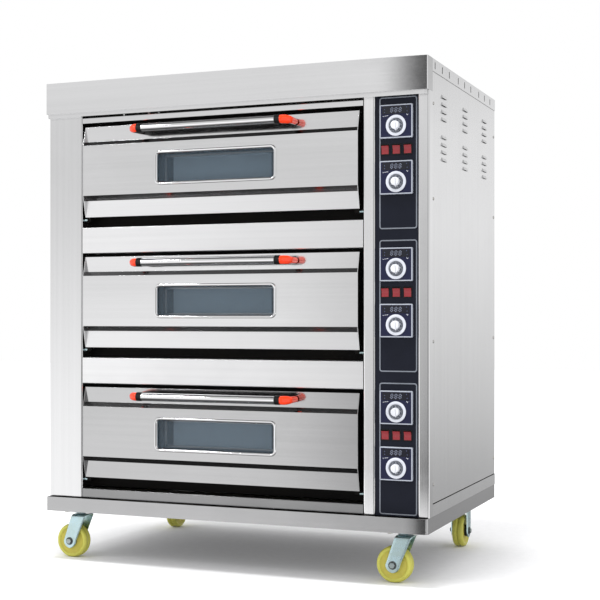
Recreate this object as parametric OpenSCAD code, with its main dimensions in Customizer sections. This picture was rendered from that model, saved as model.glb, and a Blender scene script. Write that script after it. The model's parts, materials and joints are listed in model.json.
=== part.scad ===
// Three-deck electric bakery oven on casters, built from folded stainless sheet.
// X runs across the front, Y from the front to the back, and Z up. The origin is
// on the floor under the middle of the whole outline. Sizes are in millimetres.

/* [Cabinet] */
// Width across the front
body_w = 1230; // [1200:5:1300]
// Depth from the front posts to the back panel
body_d = 790; // [760:5:860]
// Width of the left front post
left_post_w = 118; // [90:2:140]
// Width of the narrow post between the doors and the controls
stile_w = 35; // [30:1:60]
// Width of the control column
control_w = 126; // [114:2:150]
// Width of the right front post
right_post_w = 33; // [25:1:50]
// Height of the base frame
base_h = 43; // [35:1:60]
// Height of the cap hood
cap_h = 94; // [70:2:120]
// How far the cap hood and the base frame stand in front of the posts
cap_proud = 20; // [10:1:40]
// Thickness of the folded stainless sheet
sheet = 1.5; // [1:0.5:2]

/* [Decks] */
// Height from one deck to the next
deck_pitch = 401; // [395:1:430]
// Width inside a baking chamber
chamber_w = 860; // [830:5:870]
// Depth inside a baking chamber
chamber_d = 650; // [620:5:660]
// Rods in each of the two heating banks of a deck
rods_per_bank = 5; // [3:1:6]

/* [Doors] */
// Height of the proud main panel of a door
panel_h = 154.5; // [145:0.5:160]
// How far the main panel stands in front of the posts
panel_proud = 12; // [6:1:16]
// Width of the window glass that shows
glass_w = 380; // [300:5:420]
// Height of the window glass that shows
glass_h = 85; // [70:1:95]
// Length of bare tube between the two handle collars
handle_len = 431; // [350:1:520]
// Outer diameter of the handle tube
handle_d = 23; // [19:1:25]
// Distance from the front posts to the axis of the handle tube
handle_reach = 60; // [52:1:80]

/* [Controls] */
// Side of a square thermostat housing
housing_w = 96; // [90:1:100]
// Diameter of a thermostat dial
dial_d = 40; // [36:1:46]
// Distance between neighbouring rocker switches
rocker_pitch = 33; // [30:0.5:35]
// Width of a rocker
rocker_w = 21; // [18:0.5:22]
// Height of a rocker
rocker_h = 24; // [20:0.5:25]

/* [Casters] */
// Height from the floor to the underside of the base frame
caster_h = 153; // [145:1:175]
// Diameter of a wheel
wheel_d = 105; // [95:1:110]
// Width of a wheel tread
wheel_w = 36; // [28:1:40]
// Distance from a swivel's axis to the wheel it trails
trail = 32; // [20:1:36]

/* [Hidden] */

$fn = 64;
eps = 0.1;
steel = "gainsboro";
bright_steel = "whitesmoke";
dark_steel = "dimgray";
zinc = "lightsteelblue";

// Decks are numbered from the top. A deck's height is that of the top edge of its
// door's main panel, and everything on the deck is placed from there.
upper = 0;
middle = 1;
lower = 2;
base_top = caster_h + base_h;
sill_z = 284.5;
function deck_z(i) = base_top + sill_z + (2 - i) * deck_pitch;
recess_top = 69.5;
recess_bottom = -251.5;
hem_h = 12;
hem_y = 9;
top_band = 18;
cap_z = deck_z(upper) + recess_top + top_band + hem_h + 4;
body_h = cap_z + cap_h;

// Depths are measured from the front plane of the posts, positive towards the back.
gland_reach = 24;
handle_front = handle_reach + handle_d / 2;
front_y = -(body_d + gland_reach - handle_front) / 2;
seat_y = 48;
chamber_y = seat_y + 2;
return_d = 34;
fold_r = 5;
control_y = 4;

// Distances across the front are measured from the left side of the body.
opening_x = left_post_w;
opening_end = body_w - right_post_w - control_w - stile_w;
opening_w = opening_end - opening_x;
control_x = opening_end + stile_w;
chamber_x = (opening_x + opening_end - chamber_w) / 2;

// Outline of a door, as heights from the top edge of its main panel.
door_x = opening_x + 9;
door_end = opening_end - 12;
door_w = door_end - door_x;
door_mid = (door_x + door_end) / 2;
door_top = 58.5;
upper_ledge = 12.5;
lower_ledge = -panel_h - 15;
door_bottom = -220;
strip_out = 3.5;
strip_in = 5;
door_back = 45;
pan_top = door_top - 4;
pan_bottom = door_bottom + 4;
pan_front = 10;
pan_back = seat_y - 1;
pan_w = door_w - 8;
pan_d = pan_back - pan_front;
pan_h = pan_top - pan_bottom;
pan_sheet = 2;
window_z = -78.5;
bezel_edge = 9;
pane = 4;

// Door hinge: stub pins through the recess walls into lugs under the door pan.
hinge_y = 14;
hinge_z = -228;
pin_r = 4;
lug_r = 6;
lug_w = 13;
lug_x = [door_x + 3, door_end - 3 - lug_w];

// Handle.
handle_z = 37;
collar_len = 16;
arm_r = 12.5;
arm_bend = 22;
backing = 1;

// Chamber, measured like the door.
liner_top = 25;
liner_bottom = -205;
hearth_z = -170;
rod_r = 5;
upper_rod_z = 10;
lower_rod_z = -190;

// Controls, measured like the door.
housing_x = control_x + control_w / 2;
housing_z = [21, -136.5];
housing_proud = 8;
dial_drop = 12;
ring_w = 9.5;
shaft_r = 3;
switch_z = -57;
switch_x = [for (k = [-1:1]) housing_x - 1 + k * rocker_pitch];
rocker_pivot_y = control_y + 5;
rocker_tilt = 7;
rocker_pin_r = 1.2;

// Louvres, vent slots and screws of the side panels.
rail_h = 36;
column_y = [155, 398, 645];
louvre_w = 46;
louvre_z = [for (g = [0, 116], k = [0:3]) body_h - 92 - g - k * 21.5];
slot_y = [for (g = [0:2], k = [-1:1]) 134 + g * 254 + k * 76];
screw_y = [return_d + 12, body_d - 14];
screw_z = concat([body_h - 125], [for (i = [0:2]) deck_z(i) - 195.5]);
back_screw_x = [14, body_w / 3, 2 * body_w / 3, body_w - 14];

// Cable gland on the back panel, behind the controls.
gland_x = body_w - 80;
gland_z = base_top + 134;
gland_bore = 9;

// Casters.
axle_z = wheel_d / 2;
axle_r = 6;
hub_half = wheel_w / 2 + 6;
fork_gap = hub_half + 0.5;
fork_t = 3.5;
front_caster_x = 530;
front_caster_y = 58;
rear_caster_x = 525;
rear_caster_y = 688;
leg_r = 20;

// ---- shared shapes ----

module at_front() translate([-body_w / 2, front_y, 0]) children();

module at_deck(i) at_front() translate([0, 0, deck_z(i)]) children();

// Extrudes an outline drawn in Y and Z along X.
module along_x(x, length) translate([x, 0, 0]) rotate([90, 0, 90]) linear_extrude(length) children();

// Extrudes an outline drawn in X and Z backwards from the depth y.
module facing(y, depth) translate([0, y + depth, 0]) rotate([90, 0, 0]) linear_extrude(depth) children();

module rod_x(x, length, r) translate([x, 0, 0]) rotate([0, 90, 0]) cylinder(h = length, r = r);

module rod_y(y, length, r) translate([0, y, 0]) rotate([-90, 0, 0]) cylinder(h = length, r = r);

module rounded(w, h, r) {
    translate([r, 0]) square([w - 2 * r, h]);
    translate([0, r]) square([w, h - 2 * r]);
    for (x = [r, w - r], y = [r, h - r]) translate([x, y]) circle(r);
}

module rounded_centred(w, h, r) translate([-w / 2, -h / 2]) rounded(w, h, r);

// A folded channel seen from above: a face of width w with a return at each end.
module channel(w, first, second) {
    deep = max(first, second) + 10;
    difference() {
        rounded(w, deep, fold_r);
        translate([sheet, sheet]) rounded(w - 2 * sheet, deep, fold_r - sheet);
        translate([-1, first]) square([w / 2 + 1, deep]);
        translate([w / 2, second]) square([w / 2 + 1, deep]);
    }
}

// ---- cabinet ----

module base_frame() color(steel) at_front() translate([0, -cap_proud, caster_h]) difference() {
    linear_extrude(base_h) rounded(body_w, body_d + cap_proud, 7);
    translate([3, 3, 3]) linear_extrude(base_h) rounded(body_w - 6, body_d + cap_proud - 6, 4);
}

// The front band of the hood turns back over the roof, under the band and round both ends.
// A folded hem hangs below it, set back from the band.
module cap_hood() color(steel) at_front() translate([0, -cap_proud, cap_z]) {
    difference() {
        linear_extrude(cap_h) rounded(body_w, cap_proud + return_d + 10, 3);
        translate([sheet, sheet, sheet]) cube([body_w - 2 * sheet, 100, cap_h - 2 * sheet]);
        translate([-1, cap_proud + return_d, -1]) cube([body_w + 2, 20, cap_h + 2]);
        translate([sheet, cap_proud - 1, -1]) cube([body_w - 2 * sheet, 60, sheet + 2]);
    }
    translate([2, hem_y, -hem_h]) {
        cube([body_w - 4, sheet, hem_h + sheet / 2]);
        cube([body_w - 4, cap_proud - hem_y - eps, sheet]);
    }
}

module roof_panel() color(steel) at_front()
    translate([sheet + eps, return_d + eps, body_h - sheet])
    cube([body_w - 2 * sheet - 2 * eps, body_d - return_d - sheet - 2 * eps, sheet]);

module top_rail() difference() {
    translate([0, return_d + eps, body_h - rail_h]) cube([sheet, body_d - return_d - eps, rail_h]);
    for (y = slot_y) along_x(-1, 4) translate([y - 3.25, body_h - 28]) rounded(6.5, 20, 3);
}

module lower_rail() translate([0, return_d + eps, base_top + eps])
    cube([sheet, body_d - return_d - eps, rail_h]);

module side_rails() color(bright_steel)
    for (x = [-body_w / 2, body_w / 2 - sheet]) translate([x, front_y, 0]) {
        top_rail();
        lower_rail();
    }

// One pressed louvre, open underneath, on a panel that faces +X with its face at x = 0.
module louvre(y, z) translate([0, y, z]) {
    rotate([90, 0, 0]) translate([0, 0, -louvre_w / 2]) linear_extrude(louvre_w)
        polygon([[-0.5, 5], [0.6, 5], [4, -3], [4, -4], [3, -4], [-0.5, 3.5]]);
    for (end = [-louvre_w / 2, louvre_w / 2 - 1]) translate([0, end, 0]) rotate([90, 0, 0])
        translate([0, 0, -1]) linear_extrude(1) polygon([[-0.5, 5], [0.6, 5], [4, -3], [4, -4], [-0.5, -4]]);
}

// A louvred panel that faces +X with its face at x = 0.
module louvred_panel() {
    panel_z = base_top + rail_h + 2 * eps;
    panel_top = body_h - rail_h - eps;
    difference() {
        translate([-sheet, return_d + 2 * eps, panel_z])
            cube([sheet, body_d - return_d - 3 * eps - sheet, panel_top - panel_z]);
        for (y = column_y, z = louvre_z)
            translate([-3, y - louvre_w / 2 + 1, z - 4]) cube([6, louvre_w - 2, 7.5]);
        for (y = screw_y, z = screw_z) translate([0, y, z]) rod_x(-4, 8, 2.2);
    }
    for (y = column_y, z = louvre_z) louvre(y, z);
}

module right_side_panel() color(steel) translate([body_w / 2 - sheet, front_y, 0]) louvred_panel();

module left_side_panel() color(steel) mirror([1, 0, 0]) right_side_panel();

module back_panel() color(steel) at_front() difference() {
    translate([sheet + eps, body_d - sheet, base_top + eps])
        cube([body_w - 2 * sheet - 2 * eps, sheet, body_h - base_top - eps]);
    translate([gland_x, 0, gland_z]) rod_y(body_d - 5, 10, 16.2);
    for (x = back_screw_x, z = screw_z) translate([x, 0, z]) rod_y(body_d - 5, 10, 2.2);
}

// Left post, stile and right post, each a folded channel that opens to the back. The outer
// posts are notched at the top for the ends of the hood.
module front_posts() color(steel) at_front() difference() {
    translate([0, 0, base_top + eps]) linear_extrude(cap_z - base_top + 60) {
        channel(left_post_w, return_d, seat_y - eps);
        translate([opening_end, 0]) channel(stile_w, seat_y - eps, 12);
        translate([control_x + control_w, 0]) channel(right_post_w, 12, return_d);
    }
    for (i = [0:2], x = [opening_x - 5, opening_end - 5])
        translate([0, hinge_y, deck_z(i) + hinge_z]) rod_x(x, 10, pin_r + 0.1);
    for (x = [-1, body_w - sheet - eps]) translate([x, -1, cap_z - eps])
        cube([sheet + eps + 1, return_d + 2, cap_h]);
}

// A plate across the door opening with its top and bottom turned back.
module fascia(z, h) along_x(opening_x + eps, opening_w - 2 * eps) difference() {
    translate([0, z]) rounded(seat_y + 10, h, 2.5);
    translate([sheet, z + sheet]) rounded(seat_y + 20, h - 2 * sheet, 1);
    translate([seat_y - eps, z - 1]) square([30, h + 2]);
}

module fascia_plates() color(bright_steel) at_front() {
    fascia(deck_z(upper) + recess_top, top_band);
    for (i = [upper, middle]) fascia(deck_z(i + 1) + recess_top, deck_pitch + recess_bottom - recess_top);
    fascia(base_top + eps, sill_z + recess_bottom - 3.5);
}

// ---- baking chambers ----

// One welded chamber: a five-sided box with a flange that the door closes on.
module chamber_liner() difference() {
    union() {
        translate([opening_x + eps, seat_y, recess_bottom])
            cube([opening_w - 2 * eps, 2, recess_top - recess_bottom]);
        translate([chamber_x - 2, chamber_y - 1, liner_bottom - 2])
            cube([chamber_w + 4, chamber_d + 3, liner_top - liner_bottom + 4]);
    }
    translate([chamber_x, seat_y - 1, liner_bottom])
        cube([chamber_w, chamber_d + 3, liner_top - liner_bottom]);
    for (z = [upper_rod_z, lower_rod_z], k = [0:rods_per_bank - 1])
        translate([0, rod_place(k), z]) rod_x(chamber_x - 5, chamber_w + 10, rod_r + 0.3);
}

function rod_place(k) = chamber_y + 60 + k * (chamber_d - 120) / (rods_per_bank - 1);

module chamber_liners() color(dark_steel) for (i = [0:2]) at_deck(i) chamber_liner();

// A baking sheet floor on two folded legs, above the lower rods.
module hearth_plates() color("silver") for (i = [0:2]) at_deck(i)
    translate([chamber_x + 4, chamber_y + 4, 0]) {
        translate([0, 0, hearth_z - 3]) cube([chamber_w - 8, chamber_d - 12, 3]);
        for (y = [0, chamber_d - 15]) translate([0, y, liner_bottom + eps])
            cube([chamber_w - 8, 3, hearth_z - liner_bottom - 1]);
    }

module heating_elements() color("black") for (i = [0:2]) at_deck(i)
    for (z = [upper_rod_z, lower_rod_z], k = [0:rods_per_bank - 1])
        translate([0, rod_place(k), z]) rod_x(chamber_x - 14, chamber_w + 40, rod_r);

// Rock wool above, below, behind and on the left of each chamber.
module insulation() color("khaki") for (i = [0:2]) at_deck(i) {
    wool_d = chamber_d + 50;
    for (z = [liner_top + 3, recess_bottom + 2]) translate([opening_x + 2, chamber_y + 2, z])
        cube([opening_w - 4, wool_d, 42]);
    translate([chamber_x, chamber_y + chamber_d + 4, liner_bottom - 1])
        cube([chamber_w, 46, liner_top - liner_bottom + 3]);
    translate([60, chamber_y + 2, liner_bottom - 1])
        cube([chamber_x - 76, wool_d - 2, liner_top - liner_bottom + 3]);
}

// ---- doors ----

// The folded front of a door: two slanted strips either side of a proud main panel.
module skin_section() {
    top = door_top - sheet;
    bottom = door_bottom + sheet;
    polygon([
        [door_back, door_top], [strip_out, door_top], [strip_in, upper_ledge],
        [-panel_proud, 0], [-panel_proud, -panel_h], [strip_in, lower_ledge],
        [strip_out, door_bottom], [door_back, door_bottom], [door_back, bottom],
        [strip_out + sheet, bottom], [strip_in + sheet, lower_ledge],
        [sheet - panel_proud, -panel_h], [sheet - panel_proud, 0],
        [strip_in + sheet, upper_ledge], [strip_out + sheet, top], [door_back, top]
    ]);
}

module skin_end() polygon([
    [door_back, door_top], [strip_out, door_top], [-panel_proud, 0],
    [-panel_proud, -panel_h], [strip_out, door_bottom], [door_back, door_bottom]
]);

module door_skin(i) color(steel) at_deck(i) difference() {
    union() {
        along_x(door_x, door_w) skin_section();
        for (x = [door_x, door_end - sheet]) along_x(x, sheet) skin_end();
    }
    translate([door_mid, 0, window_z]) facing(-30, 25) rounded_centred(glass_w + 8, glass_h + 8, 10);
    for (x = lug_x) translate([x - 0.5, hinge_y - lug_r - 0.5, door_bottom - 1])
        cube([lug_w + 1, 2 * lug_r + 1, sheet + 2]);
}

// The inner pan closes the chamber. A rim round its window carries both panes.
module door_pan(i) color("darkgray") at_deck(i) difference() {
    union() {
        difference() {
            translate([door_x + 4, pan_front, pan_bottom]) cube([pan_w, pan_d, pan_h]);
            translate([door_x + 4 + pan_sheet, pan_front - 1, pan_bottom + pan_sheet])
                cube([pan_w - 2 * pan_sheet, pan_d + 1 - pan_sheet, pan_h - 2 * pan_sheet]);
        }
        translate([door_mid, 0, window_z]) facing(-1.5, pan_back - 0.5)
            rounded_centred(glass_w + 14, glass_h + 14, 4);
        for (x = lug_x) translate([0, hinge_y, hinge_z]) {
            rod_x(x, lug_w, lug_r);
            translate([x, -lug_r, 0]) cube([lug_w, 2 * lug_r, pan_bottom - hinge_z + 1]);
        }
    }
    translate([door_mid, 0, window_z]) {
        facing(-5, pan_back + 3) rounded_centred(glass_w + 8, glass_h + 8, 4);
        facing(0, pan_back + 5) rounded_centred(glass_w, glass_h, 4);
    }
    for (x = lug_x) translate([0, hinge_y, hinge_z]) rod_x(x - 1, lug_w + 2, pin_r + 0.05);
}

module door_glass(i) color("slategray", 0.5) at_deck(i) translate([door_mid, 0, window_z])
    for (y = [-1.8 - pane, pan_back - pan_sheet - eps - pane])
        facing(y, pane) rounded_centred(glass_w + 6, glass_h + 6, 4);

module window_bezel(i) color(bright_steel) at_deck(i) translate([door_mid, 0, window_z]) difference() {
    union() {
        facing(-panel_proud - 2.5, 2.5)
            rounded_centred(glass_w + 2 * bezel_edge, glass_h + 2 * bezel_edge, 18);
        facing(-panel_proud - eps, panel_proud - 6) rounded_centred(glass_w + 7, glass_h + 7, 14);
    }
    facing(-20, 30) rounded_centred(glass_w, glass_h, 12);
}

module handle_tube(i) color(bright_steel) at_deck(i) translate([0, -handle_reach, handle_z]) difference() {
    rod_x(door_mid - handle_len / 2 - 12, handle_len + 24, handle_d / 2);
    rod_x(door_mid - handle_len / 2 - 13, handle_len + 26, handle_d / 2 - 1.5);
}

// A black collar round the end of the tube with half of the black backing strip, and a round
// arm that bends back to the door.
module handle_arm() {
    color("black") difference() {
        union() {
            rod_x(handle_len / 2 + eps, collar_len - 2 * eps, arm_r + 1);
            rod_x(-eps, handle_len / 2 + 1, handle_d / 2 + eps + backing);
        }
        rod_x(-1, handle_len / 2 + collar_len + 1, handle_d / 2 + eps);
        translate([-1, -20, -20]) cube([handle_len / 2 + 1, 19, 40]);
    }
    color("orangered") difference() {
        translate([handle_len / 2 + collar_len, arm_bend, 0]) {
            rotate([0, 0, -90]) rotate_extrude(angle = 90) translate([arm_bend, 0]) circle(arm_r);
            translate([arm_bend, 0, 0]) rod_y(-eps, handle_reach - arm_bend + 20, arm_r);
        }
        translate([0, handle_reach, -handle_z]) along_x(0, handle_len) polygon([
            [strip_out - 0.15, door_top + 1], [strip_in - 0.15, upper_ledge - 1],
            [strip_in + 60, upper_ledge - 1], [strip_in + 60, door_top + 1]
        ]);
    }
}

module handle_arms(i) at_deck(i) translate([door_mid, -handle_reach, handle_z]) {
    handle_arm();
    mirror([1, 0, 0]) handle_arm();
}

// Six stub pins with their heads inside the posts.
module hinge_pins() color(zinc) for (i = [0:2]) at_deck(i) translate([0, hinge_y, hinge_z]) {
    rod_x(opening_x - 9, door_x + 14 - opening_x + 9, pin_r);
    rod_x(opening_x - 9, 5, pin_r + 3);
    rod_x(door_end - 14, opening_end + 9 - door_end + 14, pin_r);
    rod_x(opening_end + 4, 5, pin_r + 3);
}

// ---- controls ----

module control_panel() color([0.08, 0.09, 0.12]) at_front() difference() {
    translate([control_x + eps, control_y, base_top + eps])
        cube([control_w - 2 * eps, 2, cap_z + 40 - base_top]);
    for (i = [0:2]) {
        for (z = housing_z) translate([housing_x - 45.5, control_y - 1, deck_z(i) + z - 45.5])
            cube([91, 4, 91]);
        for (x = switch_x) translate([x, 0, deck_z(i) + switch_z])
            facing(control_y - 1, 4) rounded_centred(rocker_w + 4, rocker_h + 5, 0.5);
    }
}

// A square face with a raised scale ring, and the body of the instrument behind it.
module thermostat_housing() {
    face_y = control_y - housing_proud;
    difference() {
        union() {
            facing(face_y, housing_proud) rounded_centred(housing_w, housing_w - 2, 3);
            translate([-45, control_y, -45]) cube([90, 60, 90]);
            translate([0, 0, -dial_drop]) rod_y(face_y - 1, 2, dial_d / 2 + ring_w);
        }
        translate([0, 0, -dial_drop]) {
            rod_y(face_y - 2, 2.2, dial_d / 2 + 0.6);
            rod_y(face_y - 2, 24, shaft_r + 0.05);
        }
        translate([-20, face_y - 1, housing_w / 2 - 26]) cube([40, 2, 20]);
    }
}

module thermostat_housings() color([0.1, 0.11, 0.16]) for (i = [0:2], z = housing_z)
    at_deck(i) translate([housing_x, 0, z]) thermostat_housing();

// A skirted knob with a grip bar, on a shaft that runs in the housing.
module dial(i, z) color("silver") at_deck(i)
    translate([housing_x, control_y - housing_proud - 0.1, z - dial_drop]) rotate([90, 0, 0]) {
        rotate_extrude() polygon([
            [0, -18], [shaft_r, -18], [shaft_r, 0], [dial_d / 2, 0], [dial_d / 2, 1.6],
            [dial_d / 2 - 1, 2.6], [13, 3], [12, 4], [11.4, 13], [10.4, 14.5], [0, 14.5]
        ]);
        translate([-2.5, -10.5, 14]) cube([5, 21, 3.5]);
    }

module switch_bezel() difference() {
    union() {
        facing(control_y - 1.5, 1.5) rounded_centred(rocker_w + 6.5, rocker_h + 7.5, 2);
        facing(control_y - eps, 18) rounded_centred(rocker_w + 3.6, rocker_h + 4.4, 0.5);
    }
    facing(control_y - 5, 40) rounded_centred(rocker_w + 0.6, rocker_h + 2.2, 0.3);
    translate([0, rocker_pivot_y, 0]) rod_x(-rocker_w / 2 - 5, rocker_w + 10, rocker_pin_r + 0.06);
}

module switch_bezels() color("black") for (i = [0:2], x = switch_x)
    at_deck(i) translate([x, 0, switch_z]) switch_bezel();

// A rocker on two small pins, drawn in its off position.
module rocker(i, k) color("firebrick") at_deck(i)
    translate([switch_x[k], rocker_pivot_y, switch_z]) rotate([rocker_tilt, 0, 0]) {
        half = rocker_h / 2;
        along_x(-rocker_w / 2, rocker_w) polygon([
            [-8, half], [-7, half - 1], [-6.2, 0], [-7, 1 - half], [-8, -half],
            [-5, -half], [3, -half / 2], [4, 0], [3, half / 2], [-5, half]
        ]);
        rod_x(-rocker_w / 2 - 1.4, rocker_w + 2.8, rocker_pin_r);
    }

// ---- fasteners and power inlet ----

module screw() {
    rotate_extrude($fn = 24) polygon([[0, 0], [4.5, 0], [4.2, 1.2], [2.5, 2.2], [0, 2.4]]);
    translate([0, 0, -8]) cylinder(h = 8 + eps, r = 1.9, $fn = 24);
}

module panel_screws() color("silver") {
    for (side = [-1, 1], y = screw_y, z = screw_z)
        translate([side * (body_w / 2 - sheet), front_y + y, z]) rotate([0, side * 90, 0]) screw();
    at_front() for (x = back_screw_x, z = screw_z) translate([x, body_d, z]) rotate([-90, 0, 0]) screw();
}

module cable_gland() color("black") at_front() translate([gland_x, body_d, gland_z]) rotate([-90, 0, 0])
    difference() {
        union() {
            translate([0, 0, -18]) cylinder(h = 20, r = 16);
            cylinder(h = 8, r = 23, $fn = 6);
            translate([0, 0, 7]) cylinder(h = 10, r = 18);
            translate([0, 0, 16]) cylinder(h = gland_reach - 16, r1 = 18, r2 = 13);
            translate([0, 0, -12]) cylinder(h = 8, r = 23, $fn = 6);
        }
        translate([0, 0, -20]) cylinder(h = 60, r = gland_bore);
    }

// ---- casters ----

module caster_bolt_holes() for (x = [-37.5, 37.5], y = [-31, 31])
    translate([x, y, caster_h - 10]) cylinder(h = 20, r = 5.25);

module at_front_caster(side) translate([side * front_caster_x, front_y + front_caster_y, 0]) children();

module at_rear_caster(side) translate([side * rear_caster_x, front_y + rear_caster_y, 0]) children();

// Top plate, ball race and king pin of each swivel caster.
module caster_plates() color(dark_steel) for (side = [-1, 1]) at_front_caster(side) difference() {
    union() {
        translate([-50, -42.5, caster_h - 4]) cube([100, 85, 4]);
        translate([0, 0, caster_h - 12]) cylinder(h = 10, r = 29);
        translate([0, 0, caster_h - 26]) cylinder(h = 20, r = axle_r);
        translate([0, 0, caster_h - 26]) cylinder(h = 8, r = 11, $fn = 6);
    }
    caster_bolt_holes();
}

// One side plate of a fork, in the plane of the wheel, with its axle hole.
module fork_cheek(offset_x, top) difference() {
    union() {
        polygon([[-25, top], [25, top], [offset_x + leg_r, axle_z], [offset_x - leg_r, axle_z]]);
        translate([offset_x, axle_z]) circle(leg_r);
    }
    translate([offset_x, axle_z]) circle(axle_r + 0.2);
}

// The bolt is a shank with a head at one end and a nut at the other.
module axle_bolt() {
    outer = fork_gap + fork_t + 0.2;
    rod_y(-outer - 5, 2 * outer + 12, axle_r);
    rotate([90, 0, 0]) translate([0, 0, outer]) cylinder(h = 6, r = 10, $fn = 6);
    rotate([-90, 0, 0]) translate([0, 0, outer]) cylinder(h = 7, r = 10, $fn = 6);
}

// A fork whose wheel rolls along X, with the axle bolt that clamps it.
module fork(offset_x, top) {
    color(zinc) for (y = [-fork_gap - fork_t, fork_gap]) facing(y, fork_t) fork_cheek(offset_x, top);
    color("silver") translate([offset_x, 0, axle_z]) axle_bolt();
}

module swivel_fork(side) at_front_caster(side) {
    top = caster_h - 12.3;
    fork(-trail, top);
    color(zinc) difference() {
        translate([-25, -fork_gap - 1, top - 4.5]) cube([50, 2 * fork_gap + 2, 4.5]);
        translate([0, 0, top - 10]) cylinder(h = 20, r = axle_r + 0.06);
    }
}

module rear_forks() for (side = [-1, 1]) at_rear_caster(side) {
    rotate([0, 0, 90]) fork(0, caster_h - 2);
    color(zinc) difference() {
        translate([-50, -42.5, caster_h - 4]) cube([100, 85, 4]);
        caster_bolt_holes();
    }
}

// A nylon wheel with a groove round the tread, drawn on the Y axis.
module wheel() color([0.78, 0.76, 0.36]) rotate([90, 0, 0]) rotate_extrude() {
    r = wheel_d / 2;
    half = wheel_w / 2;
    polygon([
        [axle_r + 0.06, -hub_half], [18, -hub_half], [19, 1 - hub_half], [19, 4 - half], [r - 16, 5 - half],
        [r - 11, 1 - half], [r - 4, -half], [r - 1, 3 - half], [r, 6 - half], [r, -4],
        [r - 4, -2], [r - 4, 2], [r, 4], [r, half - 6], [r - 1, half - 3], [r - 4, half],
        [r - 11, half - 1], [r - 16, half - 5], [19, half - 4], [19, hub_half - 1], [18, hub_half],
        [axle_r + 0.06, hub_half]
    ]);
}

module front_wheel(side) at_front_caster(side) translate([-trail, 0, axle_z]) wheel();

module rear_wheel(side) at_rear_caster(side) translate([0, 0, axle_z]) rotate([0, 0, 90]) wheel();

// ---- assembly ----

base_frame();
cap_hood();
roof_panel();
side_rails();
left_side_panel();
right_side_panel();
back_panel();
front_posts();
fascia_plates();
control_panel();
thermostat_housings();
switch_bezels();
chamber_liners();
hearth_plates();
heating_elements();
insulation();
hinge_pins();
panel_screws();
cable_gland();
caster_plates();
rear_forks();
door_skin(upper);  // upper_door_skin
door_pan(upper);  // upper_door_pan
door_glass(upper);  // upper_door_glass
window_bezel(upper);  // upper_window_bezel
handle_tube(upper);  // upper_handle_tube
handle_arms(upper);  // upper_handle_arms
door_skin(middle);  // middle_door_skin
door_pan(middle);  // middle_door_pan
door_glass(middle);  // middle_door_glass
window_bezel(middle);  // middle_window_bezel
handle_tube(middle);  // middle_handle_tube
handle_arms(middle);  // middle_handle_arms
door_skin(lower);  // lower_door_skin
door_pan(lower);  // lower_door_pan
door_glass(lower);  // lower_door_glass
window_bezel(lower);  // lower_window_bezel
handle_tube(lower);  // lower_handle_tube
handle_arms(lower);  // lower_handle_arms
dial(upper, housing_z[0]);  // upper_top_heat_dial
dial(upper, housing_z[1]);  // upper_bottom_heat_dial
dial(middle, housing_z[0]);  // middle_top_heat_dial
dial(middle, housing_z[1]);  // middle_bottom_heat_dial
dial(lower, housing_z[0]);  // lower_top_heat_dial
dial(lower, housing_z[1]);  // lower_bottom_heat_dial
rocker(upper, 0);  // upper_top_heat_rocker
rocker(upper, 1);  // upper_bottom_heat_rocker
rocker(upper, 2);  // upper_lamp_rocker
rocker(middle, 0);  // middle_top_heat_rocker
rocker(middle, 1);  // middle_bottom_heat_rocker
rocker(middle, 2);  // middle_lamp_rocker
rocker(lower, 0);  // lower_top_heat_rocker
rocker(lower, 1);  // lower_bottom_heat_rocker
rocker(lower, 2);  // lower_lamp_rocker
swivel_fork(-1);  // front_left_fork
swivel_fork(1);  // front_right_fork
front_wheel(-1);  // front_left_wheel
front_wheel(1);  // front_right_wheel
rear_wheel(-1);  // rear_left_wheel
rear_wheel(1);  // rear_right_wheel
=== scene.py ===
"""Looks of a three-deck bakery oven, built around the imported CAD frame. Sizes are in metres."""
import json
from math import cos, pi, radians, sin, sqrt

import bmesh
import bpy
from mathutils import Matrix, Vector


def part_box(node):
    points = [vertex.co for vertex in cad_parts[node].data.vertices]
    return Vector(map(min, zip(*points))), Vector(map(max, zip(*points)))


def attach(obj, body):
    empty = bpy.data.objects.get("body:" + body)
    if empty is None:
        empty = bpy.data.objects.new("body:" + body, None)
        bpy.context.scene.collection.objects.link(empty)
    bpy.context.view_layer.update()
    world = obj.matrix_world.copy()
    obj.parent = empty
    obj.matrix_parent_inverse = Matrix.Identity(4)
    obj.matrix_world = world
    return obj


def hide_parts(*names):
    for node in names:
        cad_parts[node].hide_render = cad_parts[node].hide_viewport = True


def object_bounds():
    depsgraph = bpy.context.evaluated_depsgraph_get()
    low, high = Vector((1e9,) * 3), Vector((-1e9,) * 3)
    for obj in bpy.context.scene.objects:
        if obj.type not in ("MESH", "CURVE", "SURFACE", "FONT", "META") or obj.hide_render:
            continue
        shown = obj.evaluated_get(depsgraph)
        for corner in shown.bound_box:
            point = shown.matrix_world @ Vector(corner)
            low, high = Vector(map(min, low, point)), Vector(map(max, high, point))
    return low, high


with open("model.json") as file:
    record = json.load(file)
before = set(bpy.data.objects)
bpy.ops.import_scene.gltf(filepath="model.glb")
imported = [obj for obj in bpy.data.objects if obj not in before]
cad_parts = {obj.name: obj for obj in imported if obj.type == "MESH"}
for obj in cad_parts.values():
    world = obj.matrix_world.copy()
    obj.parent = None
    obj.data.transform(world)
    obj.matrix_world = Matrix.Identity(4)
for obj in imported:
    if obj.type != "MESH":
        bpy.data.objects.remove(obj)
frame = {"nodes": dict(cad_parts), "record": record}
cad_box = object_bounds()
scene = bpy.context.scene

MM = 0.001
TURN = 2 * pi
DECKS = ("upper", "middle", "lower")
HEATS = ("top", "bottom")
SWITCHES = ("top_heat", "bottom_heat", "lamp")
WHEELS = ("front_left", "front_right", "rear_left", "rear_right")


# ---- node materials ----

MAT = {}


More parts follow.
